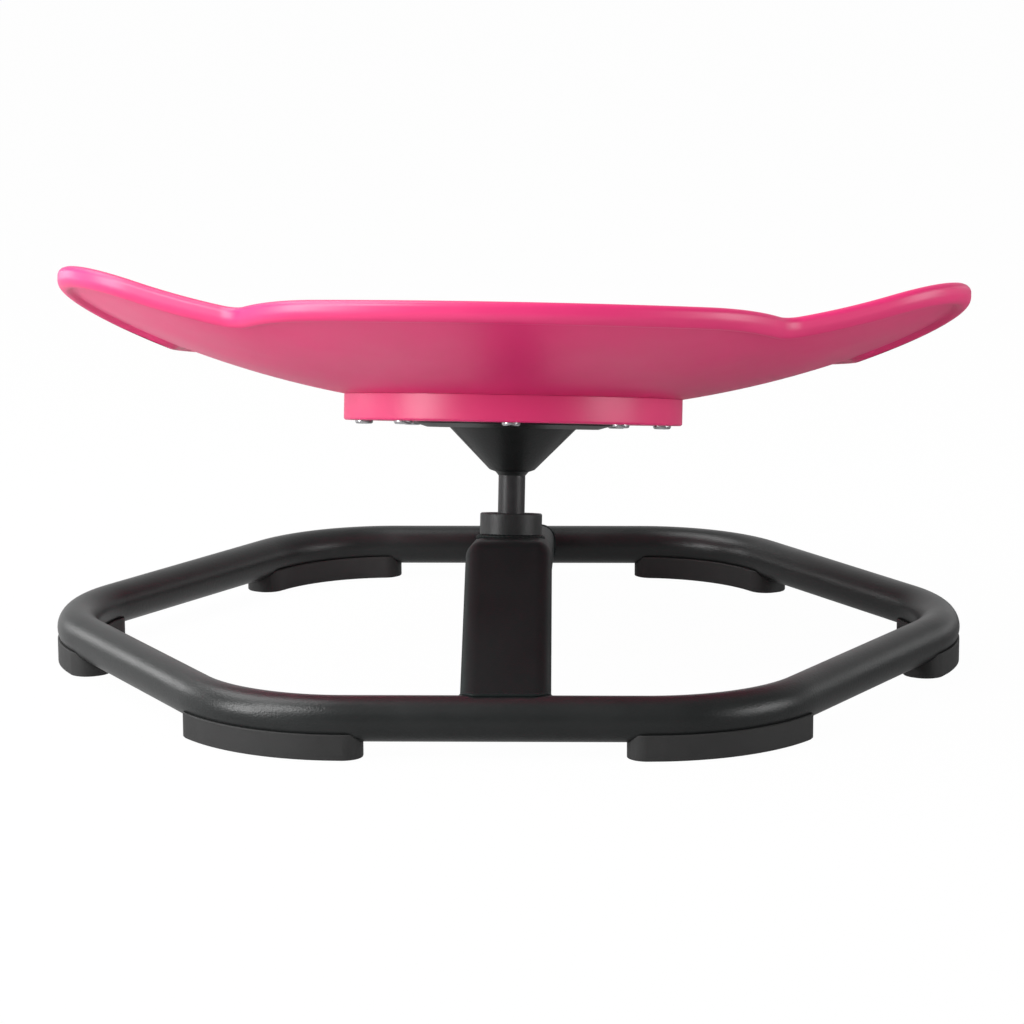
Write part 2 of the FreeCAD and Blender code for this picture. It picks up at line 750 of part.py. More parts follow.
# Seat shell: a layer between two spheres, trimmed to the outline, with a lip turned down round its rim.
ORIGIN = Vector(0, 0, 0)
front_turn = size("front_half_angle")
near_slope = size("near_edge_slope")
near_along = Vector(cos(radians(near_slope)), sin(radians(near_slope)), 0)
near_out = Vector(sin(radians(near_slope)), -cos(radians(near_slope)), 0)
shoulder_out = size("front_radius") - size("shoulder_radius")
shoulder_centre = Vector(
    shoulder_out * sin(radians(front_turn)), -shoulder_out * cos(radians(front_turn)), 0
)
near_reach = size("shoulder_radius") + size("near_notch_radius")
near_y = -size("near_notch_front")
near_centre = Vector(
    shoulder_centre.x + sqrt(near_reach**2 - (near_y - shoulder_centre.y) ** 2), near_y, 0
)
near_start = near_centre - near_out * size("near_notch_radius")
near_end = near_start + near_along * size("near_edge_length")
corner_centre = near_end - near_out * size("grip_corner_radius")
grip_centre = corner_centre - Vector(size("grip_radius") - size("grip_corner_radius"), 0, 0)
grip_reach = size("grip_radius") + size("far_notch_radius")
back_reach = size("back_radius") + size("far_notch_radius")
grip_distance = grip_centre.Length
along = (grip_distance**2 + back_reach**2 - grip_reach**2) / (2 * grip_distance)
aside = sqrt(back_reach**2 - along**2)
grip_way = grip_centre / grip_distance
far_centre = grip_way * along + Vector(-grip_way.y, grip_way.x, 0) * aside


def bearing_of(vector):
    """Direction of a plan vector in degrees, anticlockwise from +X."""
    return degrees(atan2(vector.y, vector.x))


def plan_arc(centre, radius, start, end):
    """Arc in the plan, from one direction to another."""
    points = []
    for angle in (start, (start + end) / 2, end):
        points.append(centre + Vector(radius * cos(radians(angle)), radius * sin(radians(angle)), 0))
    return Part.Arc(*points).toShape()


def seat_outline(inset):
    """Closed plan outline of the seat, moved inwards by the inset."""
    to_near = bearing_of(near_centre - shoulder_centre)
    to_far = bearing_of(far_centre - grip_centre)
    to_back = bearing_of(far_centre)
    near_shift = near_out * -inset
    right = [
        plan_arc(shoulder_centre, size("shoulder_radius") - inset, front_turn - 90, to_near),
        plan_arc(near_centre, size("near_notch_radius") + inset, to_near + 180, near_slope + 90),
        Part.makeLine(near_start + near_shift, near_end + near_shift),
        plan_arc(corner_centre, size("grip_corner_radius") - inset, near_slope - 90, 0),
        plan_arc(grip_centre, size("grip_radius") - inset, 0, to_far),
        plan_arc(far_centre, size("far_notch_radius") + inset, to_far + 180, to_back + 180),
    ]
    left = [edge.mirror(ORIGIN, Vector(1, 0, 0)) for edge in right]
    front = plan_arc(ORIGIN, size("front_radius") - inset, -90 - front_turn, -90 + front_turn)
    back = plan_arc(ORIGIN, size("back_radius") - inset, to_back, 180 - to_back)
    return Part.Wire(Part.__sortEdges__([front, back] + right + left))


def seat_prism(inset):
    """Upright block of the seat outline, tall enough to pass through the whole dish."""
    block = Part.Face(seat_outline(inset)).extrude(UP * size("dish_radius") / 2)
    return block.translated(Vector(0, 0, -size("lip_drop")))


def dish_sphere(offset):
    """Sphere about the dish centre; a positive offset lies below the underside of the shell."""
    centre = Vector(0, 0, size("dish_floor") + size("dish_radius"))
    return Part.makeSphere(size("dish_radius") + offset, centre, Vector(1, 0, 0))


def dish_layer(inset, top, bottom):
    """Part of the dish between two depths, inside the outline moved inwards by the inset."""
    return seat_prism(inset).common(dish_sphere(bottom)).cut(dish_sphere(top))


def rim_edges(shape, inset, offset):
    """Edges that run round the outline at one depth."""
    outline = seat_outline(inset)
    centre = Vector(0, 0, size("dish_floor") + size("dish_radius"))
    found = []
    for edge in shape.Edges:
        middle = edge.valueAt((edge.FirstParameter + edge.LastParameter) / 2)
        on_depth = abs((middle - centre).Length - size("dish_radius") - offset) < 0.01
        if on_depth and outline.distToShape(Part.Vertex(middle.x, middle.y, 0))[0] < 0.01:
            found.append(edge)
    return found


lip_width = size("lip_width")
lip_drop = size("lip_drop")
inner_face = -size("shell_thickness")
lip_top = inner_face - size("lip_rise")
shell = dish_layer(0, lip_top, lip_drop)
shell = shell.cut(dish_layer(lip_width, 0, lip_drop)).cut(dish_layer(lip_width, lip_top, inner_face))
for amount, inset, offset in (
    ("lip_top_round", 0, lip_top),
    ("lip_inner_round", lip_width, lip_top),
    ("lip_bottom_round", 0, lip_drop),
):
    shell = shell.makeFillet(size(amount), rim_edges(shell, inset, offset))
for spot in disc_spots:
    blind_hole = disc_hole.Shape.copy()
    blind_hole.Placement = spot
    shell = shell.cut(blind_hole)
seat_shell = shaped("seat_shell", shell, placed(on_axis(SEAT_FOOT)))

NODES = [base_ring, cross_beam] + feet + [foot_screws, bearing_housing] + bearing_nodes
NODES += [bearing_spacer, spindle, washer, lock_nut, dust_seal, bottom_cap, hub_cone, flange_plate]
NODES += [flange_screws, flange_inserts, seat_disc, disc_screws, seat_shell]

doc.recompute()
for item in doc.Objects:
    if "Invalid" in item.State or "Error" in item.State:
        raise RuntimeError(f"{item.Label} did not build")
os.makedirs("parts", exist_ok=True)
for node in NODES:
    if node.Shape.isNull() or not node.Shape.isValid():
        raise RuntimeError(f"{node.Label} has no sound shape")
    node.Shape.exportStep(f"parts/{node.Label}.step")
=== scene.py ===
import bmesh
import bpy
import numpy as np
from mathutils import Matrix, Vector


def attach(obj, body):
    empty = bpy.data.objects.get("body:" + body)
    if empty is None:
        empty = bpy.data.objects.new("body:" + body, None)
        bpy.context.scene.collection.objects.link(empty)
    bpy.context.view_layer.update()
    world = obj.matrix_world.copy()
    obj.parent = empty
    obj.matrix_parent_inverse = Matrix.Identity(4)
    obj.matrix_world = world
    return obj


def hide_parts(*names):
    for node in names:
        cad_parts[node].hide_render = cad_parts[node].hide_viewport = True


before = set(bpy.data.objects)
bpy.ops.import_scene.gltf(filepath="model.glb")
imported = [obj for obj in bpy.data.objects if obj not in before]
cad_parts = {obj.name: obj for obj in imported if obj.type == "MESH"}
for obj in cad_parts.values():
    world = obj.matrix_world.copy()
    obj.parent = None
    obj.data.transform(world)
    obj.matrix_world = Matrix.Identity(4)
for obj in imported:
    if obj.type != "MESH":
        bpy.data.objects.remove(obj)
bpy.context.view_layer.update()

# Base ring: one steel tube bent round six corners and butt welded into a closed ring.
# It is powder coated satin black, and everything else on the base is welded or screwed to it.
ring_corner = 274.4
ring_level = 20.5
bend_radius = 97.0
tube_radius = 12.5
bend_centre = ring_corner - bend_radius / np.cos(np.pi / 6)
apothem = ring_corner * np.cos(np.pi / 6)


def joined(name, grids, along=False, sharp=38):
    """Closed mesh through one or more grids of points given in millimetres.

    A grid is rows of points, and each row closes round into a ring. Four-sided faces join the
    rings, the last ring joins the first if `along` is set, and a ring drawn in to one point is a
    pole. Edges that turn more than `sharp` degrees stay crisp.
    """
    points, faces, start = [], [], 0
    for grid in grids:
        rows, columns = grid.shape[:2]
        row = np.arange(rows if along else rows - 1)[:, None]
        column = np.arange(columns)[None, :]
        corners = ((row, column), (row, column + 1), (row + 1, column + 1), (row + 1, column))
        quads = [start + (r % rows) * columns + c % columns for r, c in corners]
        faces.append(np.stack(quads, -1).reshape(-1, 4))
        points.append(grid.reshape(-1, 3) * 0.001)
        start += rows * columns
    mesh = bpy.data.meshes.new(name)
    mesh.from_pydata(np.concatenate(points).tolist(), [], np.concatenate(faces).tolist())
    shape = bmesh.new()
    shape.from_mesh(mesh)
    bmesh.ops.remove_doubles(shape, verts=shape.verts, dist=1e-6)
    bmesh.ops.dissolve_degenerate(shape, dist=1e-7, edges=shape.edges)
    bmesh.ops.recalc_face_normals(shape, faces=shape.faces)
    shape.to_mesh(mesh)
    shape.free()
    mesh.shade_smooth()
    mesh.set_sharp_from_angle(angle=np.radians(sharp))
    piece = bpy.data.objects.new(name, mesh)
    bpy.context.scene.collection.objects.link(piece)
    return piece


def wandering(name, low, high, cloud, rough, grain, lift, metallic=0.0, specular=0.5):
    """Finish whose colour and sheen wander a little over the piece.

    A cloudy noise with patches `cloud` metres across mixes the two colours and moves the
    roughness between its two values. A finer noise of `grain` metres lifts the surface by `lift`.
    """
    material = bpy.data.materials.new(name)
    material.use_nodes = True
    nodes, links = material.node_tree.nodes, material.node_tree.links
    shader = nodes["Principled BSDF"]
    shader.inputs["Metallic"].default_value = metallic
    shader.inputs["Specular IOR Level"].default_value = specular
    place = nodes.new("ShaderNodeTexCoord").outputs["Object"]
    clouds = nodes.new("ShaderNodeTexNoise")
    clouds.inputs["Scale"].default_value = 1 / cloud
    clouds.inputs["Detail"].default_value = 5
    links.new(place, clouds.inputs["Vector"])
    tint = nodes.new("ShaderNodeMix")
    tint.data_type = "RGBA"
    tint.inputs[6].default_value = (*low, 1)
    tint.inputs[7].default_value = (*high, 1)
    links.new(clouds.outputs["Fac"], tint.inputs[0])
    links.new(tint.outputs[2], shader.inputs["Base Color"])
    sheen = nodes.new("ShaderNodeMapRange")
    sheen.inputs["From Min"].default_value = 0.3
    sheen.inputs["From Max"].default_value = 0.7
    sheen.inputs["To Min"].default_value = rough[0]
    sheen.inputs["To Max"].default_value = rough[1]
    links.new(clouds.outputs["Fac"], sheen.inputs["Value"])
    links.new(sheen.outputs["Result"], shader.inputs["Roughness"])
    fine = nodes.new("ShaderNodeTexNoise")
    fine.inputs["Scale"].default_value = 1 / grain
    fine.inputs["Detail"].default_value = 2
    links.new(place, fine.inputs["Vector"])
    bump = nodes.new("ShaderNodeBump")
    bump.inputs["Distance"].default_value = lift
    links.new(fine.outputs["Fac"], bump.inputs["Height"])
    links.new(bump.outputs["Normal"], shader.inputs["Normal"])
    return material


def heading(angles):
    """Level unit vectors that point at the given angles in degrees, anticlockwise from +X."""
    angles = np.radians(np.asarray(angles, float))
    return np.stack([np.cos(angles), np.sin(angles), np.zeros_like(angles)], -1)


def ring_tube():
    """Circle carried round the ring: bend centre plus bend radius, then the tube's own circle.

    Each bend sweeps 60 degrees about its centre, and the straight sides join one bend's end to
    the next one's start.
    """
    corner = np.repeat(np.arange(6) * 60.0, 33)
    sweep = corner + np.tile(np.linspace(-30, 30, 33), 6)
    turn = np.linspace(0, 2 * np.pi, 65)[:-1]
    out = bend_radius + tube_radius * np.cos(turn)
    flat = heading(corner)[:, None] * bend_centre + heading(sweep)[:, None] * out[None, :, None]
    flat[..., 2] = ring_level + tube_radius * np.sin(turn)
    return flat


powder_coat = wandering(
    "black_powder_coat", (0.009, 0.010, 0.010), (0.016, 0.0175, 0.0175), 0.03, (0.31, 0.38),
    0.0013, 0.00015, specular=0.32,
)
ring = joined("base_ring_visual", [ring_tube()], along=True)
ring.data.materials.append(powder_coat)
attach(ring, "base")
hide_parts("base_ring")

# Feet: six moulded rubber saddles, one under each bend, dull black with square-edged sides.
# Each hugs the lower half of the tube and has two sunk holes for its screws.
foot_half_width = 12.5
foot_top = 14.2
foot_lead = 10.3
foot_trail = 2.7
foot_end_round = 11.0
foot_edge = 0.45
groove_radius = tube_radius + 0.1
foot_screw_angle = 20.0
foot_hole_radius = 4.2
foot_hole_depth = 4.0


def saddle(corner, hand):
    """Foot section carried along the bend and a short way onto the straights.

    The section is flat below, upright at the sides and hollowed to the tube above. Its half width
    shrinks along a quarter circle at both ends. Round each screw the square net of the sole is
    drawn in to circles, and the inner ones are lifted to the bottom of the hole. The end nearer the
    front is the longer one, so `hand` is 1 for a foot on the right and -1 for its mirror image.
    """
    net = np.array([0, 0.12, 0.24, 0.36, 0.44, 0.48, 0.5, 0.515, 0.6, 0.75, 1.0])
    net = np.concatenate([-net[:0:-1], net]) * 2 * foot_hole_radius
    screw_reach = bend_radius * np.radians(foot_screw_angle)
    end_turn = np.linspace(0, np.pi / 2, 15)
    round_off = foot_end_round * (1 - np.sin(end_turn))
    front_reach = bend_radius * np.pi / 6 + foot_lead
    rear_reach = bend_radius * np.pi / 6 + foot_trail
    middle = np.linspace(-1, 1, 12)[1:-1] * (screw_reach - net[-1])
    front_end = (round_off - front_reach)[::-1]
    rear_end = rear_reach - round_off
    s = np.concatenate([front_end, net - screw_reach, middle, net + screw_reach, rear_end])
    side_room = foot_half_width - foot_end_round
    room = np.minimum(front_reach + s, rear_reach - s)
    shrink = np.clip(1 - room / foot_end_round, 0, 1)
    half = side_room + foot_end_round * np.sqrt(1 - shrink**2)
    half = np.concatenate([[0], half, [0]])
    s = np.concatenate([[s[0]], s, [s[-1]]])
    edge = np.minimum(foot_edge, half)[:, None]
    half = half[:, None]
    sole = np.concatenate([[-foot_half_width + foot_edge], net, [foot_half_width - foot_edge]])
    sole = sole[None] / (foot_half_width - foot_edge) * (half - edge)
    brim = np.sqrt(groove_radius**2 - (ring_level - foot_top) ** 2) / (foot_half_width - foot_edge)
    top = np.sort(np.concatenate([np.linspace(-1, 1, 43), [-brim, brim]]))
    top = top[None, ::-1] * (half - edge)
    hollow = ring_level - np.sqrt(np.maximum(groove_radius**2 - top**2, 0))
    hollow = np.minimum(hollow, foot_top)
    shut = (half > 0).astype(float)
    across = np.concatenate([sole, half, half, top, -half, -half], 1)
    low = np.zeros_like(sole)
    lift = foot_edge * shut
    first, last = hollow[:, :1] - lift, hollow[:, -1:] - lift
    level = np.concatenate([low, lift, first, hollow, last, lift], 1)
    along = np.repeat(s[:, None], across.shape[1], 1)
    for screw in (-screw_reach, screw_reach):
        ahead = along[:, : sole.shape[1]] - screw
        aside = across[:, : sole.shape[1]]
        ring_size = np.maximum(np.abs(ahead), np.abs(aside)) / (2 * foot_hole_radius)
        pull = np.clip((1 - ring_size) / 0.4, 0, 1)
        reach = np.hypot(ahead, aside)
        scale = 1 + pull * (ring_size * 2 * foot_hole_radius / np.maximum(reach, 1e-9) - 1)
        near = ring_size < 1
        along[:, : sole.shape[1]] = np.where(near, screw + ahead * scale, along[:, : sole.shape[1]])
        across[:, : sole.shape[1]] = np.where(near, aside * scale, aside)
        level[:, : sole.shape[1]] = np.where(
            ring_size < 0.505, foot_hole_depth, level[:, : sole.shape[1]]
        )
    along *= hand
    sweep = np.clip(along / bend_radius, -np.pi / 6, np.pi / 6)
    beyond = (along - sweep * bend_radius)[..., None]
    facing = heading(corner + np.degrees(sweep))
    tangent = heading(corner + 90 + np.degrees(sweep))
    points = heading(corner) * bend_centre + facing * (bend_radius + across[..., None])
    points += tangent * beyond
    points[..., 2] = level
    return points


foot_rubber = wandering(
    "black_rubber", (0.016, 0.016, 0.016), (0.028, 0.028, 0.028), 0.012, (0.55, 0.70),
    0.0006, 0.00004, specular=0.3,
)
for number in range(1, 7):
    hand = 1 if number in (1, 2, 6) else -1
    foot = joined(f"foot_{number}_visual", [saddle(60 * (number - 1), hand)], sharp=25)
    foot.data.materials.append(foot_rubber)
    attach(foot, "base")
    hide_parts(f"foot_{number}")

# Foot screws: zinc plated steel pan heads with a cross recess, two in each foot.
# They pass up through the sole into the underside of the tube.
foot_screw_head = 4.0
foot_screw_rise = 2.4
foot_screw_shank = 2.0
foot_screw_length = 9.0


def cross_recess(x, y, arm, width, depth):
    """Depth of a cross-shaped recess, full in the arms and easing out over their sloped edges."""
    wide, narrow = np.maximum(np.abs(x), np.abs(y)), np.minimum(np.abs(x), np.abs(y))
    inside = np.minimum((arm - wide) * 0.6, width - narrow)
    return depth * np.clip(inside / (0.7 * width), 0, 1)


def hex_recess(x, y, arm, width, depth):
    """Depth of a six-sided socket: flats `arm` from the middle, walls sloped over `width`."""
    turn = np.radians([0, 60, 120])
    flats = np.abs(x[..., None] * np.cos(turn) + y[..., None] * np.sin(turn)).max(-1)
    return depth * np.clip((arm - flats) / width, 0, 1)


def screw(head, rise, dome, shank, length, recess, arm, width, depth, sink=0.0):
    """Screw with its head face at height 0 and its shank going up.

    The head is a round net of circles: height is the dome's rise towards the rim plus the depth of
    the recess. The rings then go over the rim, in to the shank, up it and to a point.
    """
    turn = np.linspace(0, 2 * np.pi, 97)[:-1]
    flat = np.linspace(0, head - dome, 30)
    curl = np.linspace(0, np.pi / 2, 9)[1:]
    radius = np.concatenate([flat, head - dome + dome * np.sin(curl)])
    level = np.concatenate([0.25 * (flat / head) ** 2, 0.25 + dome * (1 - np.cos(curl))])
    level -= 0.25 * (1 - (flat[-1] / head) ** 2) * (radius > flat[-1])
    radius = np.concatenate([radius, [head, shank + sink, shank, shank, shank - 0.6, 0]])
    level = np.concatenate([level, [max(rise - sink, level[-1]), rise, rise, rise + length - 0.6]])
    level = np.concatenate([level, [rise + length] * 2])
    x, y = radius[:, None] * np.cos(turn), radius[:, None] * np.sin(turn)
    z = np.repeat(level[:, None], len(turn), 1)
    face = slice(0, len(flat) + len(curl))
    z[face] += recess(x[face], y[face], arm, width, depth)
    return np.stack([x, y, z], -1)


bright_zinc = wandering(
    "zinc_steel", (0.52, 0.53, 0.55), (0.70, 0.70, 0.71), 0.004, (0.22, 0.36), 0.0004, 0.00001,
    metallic=1.0,
)
foot_screw = screw(
    foot_screw_head, foot_screw_rise, 0.9, foot_screw_shank, foot_screw_length, cross_recess,
    2.3, 0.62, 1.5,
)
foot_screw_spots = []
for corner in range(0, 360, 60):
    for angle in (corner - foot_screw_angle, corner + foot_screw_angle):
        spot = heading(corner) * bend_centre + heading(angle) * bend_radius
        spot[2] = foot_hole_depth - foot_screw_rise
        foot_screw_spots.append(foot_screw + spot)
foot_screws = joined("foot_screws_visual", foot_screw_spots)
foot_screws.data.materials.append(bright_zinc)
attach(foot_screws, "base")
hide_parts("foot_screws")

# Cross beam: flat-sided steel tube, bent once, that climbs from the front of the ring and falls to
# its rear. Both ends are shaped to the round tube and welded to it; its black coat is duller.
beam_half_width = 24.65
beam_half_height = 12.5
beam_corner = 9.0
beam_bend = 18.0
beam_climb = np.radians(23.4)
beam_fall = np.radians(9.55)
beam_yaw = np.radians(0.7)
beam_shift = 2.7
end_setback = 4.0


def beam_place(points):
    """Beam frame to the object: a slight turn about the upright, a shift, and up to the ring."""
    x, y = points[..., 0], points[..., 1]
    turned_x = x * np.cos(beam_yaw) - y * np.sin(beam_yaw) + beam_shift
    turned_y = x * np.sin(beam_yaw) + y * np.cos(beam_yaw)
    return np.stack([turned_x, turned_y, points[..., 2] + ring_level], -1)


def beam_section():
    """Rectangle with quarter-round corners: sideways and upward offsets, in order round it."""
    turn = np.concatenate([np.linspace(a, a + np.pi / 2, 12) for a in np.arange(4) * np.pi / 2])
    side = np.repeat([1.0, -1.0, -1.0, 1.0], 12)
    rise = np.repeat([1.0, 1.0, -1.0, -1.0], 12)
    across = side * (beam_half_width - beam_corner) + beam_corner * np.cos(turn)
    return across, rise * (beam_half_height - beam_corner) + beam_corner * np.sin(turn)


def coped(rise, gap=0.05):
    """How far the beam's end lies from the ring tube's middle, for each height in its section."""
    return np.maximum(end_setback, np.sqrt(np.maximum((tube_radius + gap) ** 2 - rise**2, 0)))


def beam_tube():
    """Beam section carried along two straights and the bend between them.

    Points are the path, plus sideways offset, plus upward offset along the path's normal. The first
    and last rings follow the round of the ring tube and are drawn in to a point inside the joint.
    """
    across, rise = beam_section()
    climb, fall = np.tan(beam_climb), np.tan(beam_fall)
    peak_y = apothem * (fall - climb) / (fall + climb)
    peak = np.array([peak_y, (peak_y + apothem) * climb])
    trim = beam_bend * np.tan((beam_climb + beam_fall) / 2)
    bend_start = peak - trim * np.array([np.cos(beam_climb), np.sin(beam_climb)])
    hub = bend_start + beam_bend * np.array([np.sin(beam_climb), -np.cos(beam_climb)])
    slope = np.concatenate([[beam_climb], np.linspace(beam_climb, -beam_fall, 17), [-beam_fall]])
    path = hub + beam_bend * np.stack([-np.sin(slope), np.cos(slope)], -1)
    path[0] = (-apothem, 0)
    path[-1] = (apothem, 0)
    start = np.zeros((len(path), len(rise)))
    start[0] = coped(rise)
    start[-1] = -coped(rise)
    y = path[:, :1] + start * np.cos(slope)[:, None] - rise * np.sin(slope)[:, None]
    z = path[:, 1:] + start * np.sin(slope)[:, None] + rise * np.cos(slope)[:, None]
    rings = np.stack([np.repeat(across[None], len(path), 0), y, z], -1)
    shut = [np.repeat(rings[i].mean(0)[None, None], len(rise), 1) for i in (0, -1)]
    return beam_place(np.concatenate([shut[0], rings, shut[1]]))


# Painted light: the beam's black is tinted slightly cool so that it cancels the pink light the seat
# throws on it.
beam_coat = wandering(
    "black_beam_coat", (0.006, 0.0085, 0.0083), (0.010, 0.014, 0.0137), 0.03, (0.48, 0.56),
    0.0011, 0.00008, specular=0.1,
)
beam = joined("cross_beam_visual", [beam_tube()])
beam.data.materials.append(beam_coat)
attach(beam, "base")
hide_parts("cross_beam")


# End welds: a narrow, nearly smooth bead of weld metal all round each end of the beam, under the
# coating. They close the joint between the flat beam and the round tube of the ring.
end_weld_radius = 1.1
end_weld_swell = 0.03
weld_ripple = 2.6
end_weld_gap = 0.6


def bead(path, size, ripple, swell):
    """Small circle of radius `size` carried along a closed path.

    The radius swells by the share `swell` once in each length `ripple` of the path.
    """
    ahead = np.roll(path, -1, 0) - np.roll(path, 1, 0)
    ahead /= np.linalg.norm(ahead, axis=1)[:, None]
    aside = np.cross(ahead, [0.0, 0.0, 1.0])
    aside /= np.linalg.norm(aside, axis=1)[:, None]
    above = np.cross(aside, ahead)
    step = np.linalg.norm(np.roll(path, -1, 0) - path, axis=1)
    run = np.concatenate([[0], np.cumsum(step)[:-1]])
    count = max(1, round(step.sum() / ripple))
    radius = size * (1 + swell * np.cos(2 * np.pi * count * run / step.sum()))[:, None, None]
    turn = np.linspace(0, 2 * np.pi, 17)[:-1][None, :, None]
    return path[:, None] + radius * (aside[:, None] * np.cos(turn) + above[:, None] * np.sin(turn))


def end_path(slope, end, way):
    """Closed line where one end of the beam meets the ring tube, with points about 0.5 mm apart."""
    across, rise = beam_section()
    start = way * coped(rise, end_weld_gap)
    corner = np.stack([across, end - rise * np.sin(slope), rise * np.cos(slope)], -1)
    corner[:, 1] += start * np.cos(slope)
    corner[:, 2] += start * np.sin(slope)
    loop = np.concatenate([corner, corner[:1]])
    run = np.concatenate([[0], np.cumsum(np.linalg.norm(np.diff(loop, axis=0), axis=1))])
    even = np.linspace(0, run[-1], 280)[:-1]
    return beam_place(np.stack([np.interp(even, run, loop[:, i]) for i in range(3)], -1))


welds = [
    bead(end_path(beam_climb, -apothem, 1), end_weld_radius, weld_ripple, end_weld_swell),
    bead(end_path(-beam_fall, apothem, -1), end_weld_radius, weld_ripple, end_weld_swell),
]
end_welds = joined("beam_end_welds", welds, along=True)
end_welds.data.materials.append(beam_coat)
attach(end_welds, "base")

# Bearing housing: turned steel sleeve let through the beam and welded in, with a seat for a ball
# bearing at each end. Its upper end is the collar that shows, coated black like the ring.
tilt = np.radians(9.55)
lean = np.radians(1.22)
axis_offset = -0.55
axis_setback = 17.0
beam_top = 12.5
housing_radius = 18.5
housing_bore = 14.0
bearing_seat = 16.02
housing_foot = -14.5
collar_top = 26.9
bearing_height = 9.0
bearing_recess = 2.0


def on_axis(points):
    """Points measured from the beam's middle, up along the tilted swivel axis, to the object."""
    leaned = Matrix.Rotation(lean, 3, "Y") @ Matrix.Rotation(-tilt, 3, "X")
    foot = np.array([axis_offset, -axis_setback, (apothem + axis_setback) * np.tan(tilt)])
    return beam_place(foot + points @ np.array(leaned).T)


def rounded(corners, rounds):
    """Sections whose corners are eased to arcs of eight steps, tangent to both sides.

    Corners are (corner, ..., 2) points, so many sections are eased at once. A round of 0 keeps the
    corner.
    """
    points = []
    for index, radius in enumerate(rounds):
        here = corners[index]
        if radius == 0:
            points.append(here)
            continue
        back = corners[index - 1] - here
        on = corners[(index + 1) % len(corners)] - here
        back = back / np.linalg.norm(back, axis=-1, keepdims=True)
        on = on / np.linalg.norm(on, axis=-1, keepdims=True)
        half = np.arccos(np.clip((back * on).sum(-1, keepdims=True), -1, 1)) / 2
        inward = (back + on) / np.linalg.norm(back + on, axis=-1, keepdims=True)
        middle = here + inward * radius / np.sin(half)
        first = here + back * radius / np.tan(half) - middle
        last = here + on * radius / np.tan(half) - middle
        for share in np.linspace(0, 1, 9):
            spoke = first * (1 - share) + last * share
            points.append(middle + spoke / np.linalg.norm(spoke, axis=-1, keepdims=True) * radius)
    return np.array(points)


def turning(corners, steps=160):
    """Surface of revolution about the swivel axis: each (radius, height) point becomes a circle."""
    corners = np.array(corners, float)
    profile = rounded(corners[:, :2], corners[:, 2])
    turn = np.linspace(0, 2 * np.pi, steps + 1)[:-1]
    ring = np.stack([np.cos(turn), np.sin(turn), np.zeros_like(turn)], -1)
    height = np.array([0.0, 0.0, 1.0])
    return on_axis(profile[:, None, :1] * ring[None] + profile[:, None, 1:] * height)


seat_top = collar_top - bearing_recess - bearing_height
seat_low = housing_foot + bearing_recess + bearing_height
housing = joined(
    "bearing_housing_visual",
    [turning([
        (housing_radius, housing_foot, 0.6),
        (housing_radius, collar_top, 1.1),
        (bearing_seat, collar_top, 0.4),
        (bearing_seat, seat_top, 0),
        (housing_bore, seat_top, 0),
        (housing_bore, seat_low, 0),
        (bearing_seat, seat_low, 0),
        (bearing_seat, housing_foot, 0),
    ])],
    along=True,
)
# Painted light: the collar's coat is the ring's black made lighter, standing in for the brighter
# light that falls on the collar.
collar_coat = wandering(
    "black_collar_coat", (0.014, 0.0155, 0.0155), (0.026, 0.028, 0.028), 0.004, (0.36, 0.50),
    0.0008, 0.00010, specular=0.3,
)
housing.data.materials.append(collar_coat)
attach(housing, "base")
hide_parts("bearing_housing")

# Collar weld: lightly rippled bead between the housing and the top of the beam, under the coating.
# It dips a little at the sides, where the beam's corners round away.
collar_weld_radius = 1.5
collar_weld_swell = 0.08
collar_weld_reach = housing_radius + 0.5
collar_weld_lift = 0.3
weld_turn = np.linspace(0, 2 * np.pi, 241)[:-1]
weld_side = collar_weld_reach * np.cos(weld_turn)
weld_past = np.maximum(np.abs(weld_side) - (beam_half_width - beam_corner), 0)
weld_drop = np.sqrt(beam_corner**2 - weld_past**2)
weld_level = beam_top - beam_corner + weld_drop + collar_weld_lift
weld_path = np.stack([weld_side, collar_weld_reach * np.sin(weld_turn), weld_level], -1)
collar_weld = joined(
    "collar_weld",
    [bead(on_axis(weld_path), collar_weld_radius, weld_ripple, collar_weld_swell)],
    along=True,
)
collar_weld.data.materials.append(beam_coat)
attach(collar_weld, "base")

# Bearings and what holds them: two ball bearings of polished steel with moulded cages, a spacer
# between their inner rings, and a washer and lock nut under the lower one, all in the housing.
bearing_steel = wandering(
    "bearing_steel", (0.60, 0.60, 0.61), (0.72, 0.72, 0.73), 0.003, (0.10, 0.20), 0.0003, 0.000004,
    metallic=1.0,
)
moulded_black = wandering(
    "black_plastic", (0.015, 0.015, 0.016), (0.024, 0.024, 0.025), 0.008, (0.42, 0.55),
    0.0007, 0.00003,
)


def finish_node(name, material):
    """Gives a solid that shows as it is its finish in place of the plain one."""
    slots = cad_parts[name].data.materials
    slots.clear()
    slots.append(material)


for end in ("lower", "upper"):
    for name in ("outer_ring", "inner_ring", "balls"):
        finish_node(f"{end}_{name}", bearing_steel)
    finish_node(f"{end}_cage", moulded_black)
for name in ("bearing_spacer", "washer", "lock_nut"):
    finish_node(name, bright_zinc)

# Seal and bottom cap: a rubber ring closes the top of the housing round the shaft.
# A moulded cap pressed into its foot covers the nut.
finish_node("dust_seal", foot_rubber)
finish_node("bottom_cap", moulded_black)

